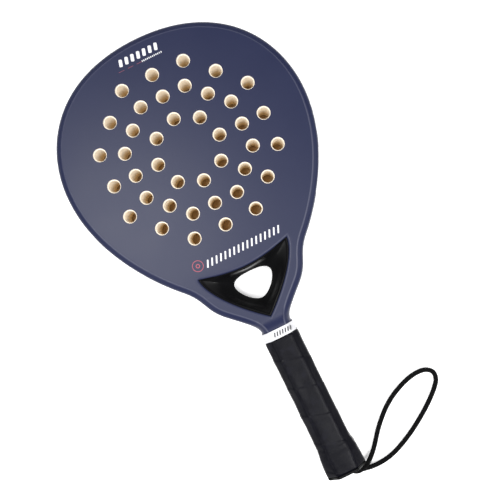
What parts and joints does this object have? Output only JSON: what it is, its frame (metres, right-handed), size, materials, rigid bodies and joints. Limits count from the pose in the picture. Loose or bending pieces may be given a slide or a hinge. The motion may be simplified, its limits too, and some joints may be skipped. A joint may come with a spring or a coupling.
{
  "type": "padel racket",
  "caption": "Teardrop padel racket with a perforated foam-cored head, an open throat, a wrapped handle and a wrist cord.",
  "frame": {"origin": "on the floor, under the middle of the racket's length and width, with the racket lying on its back face", "axes": "+Y along the racket to the tip of the head, +Z out of the front face, +X to the right when the tip is up"},
  "size_m": [0.2458, 0.4715, 0.038],
  "materials": {
    "navy_paint": "satin navy lacquer on a fibre laminate",
    "core_foam": "cut EVA foam, cream",
    "black_liner": "semi-gloss black moulding",
    "cap_plastic": "black moulded plastic",
    "grip_wrap": "charcoal cushioned wrap, matt",
    "white_tape": "white satin tape",
    "black_cord": "braided black cord"
  },
  "bodies": {
    "root": {"frame_tube": "navy_paint", "frame_foam": "core_foam", "foam_core": "core_foam", "front_face": "navy_paint", "back_face": "navy_paint", "throat_bridge": "navy_paint", "throat_wedge": "navy_paint", "throat_liner_front": "black_liner", "throat_liner_back": "black_liner", "handle_core": "core_foam", "butt_cap": "cap_plastic", "base_grip": "grip_wrap", "collar_tape": "white_tape", "wrist_cord": "black_cord", "cord_knot": "black_cord"}
  },
  "joints": []
}
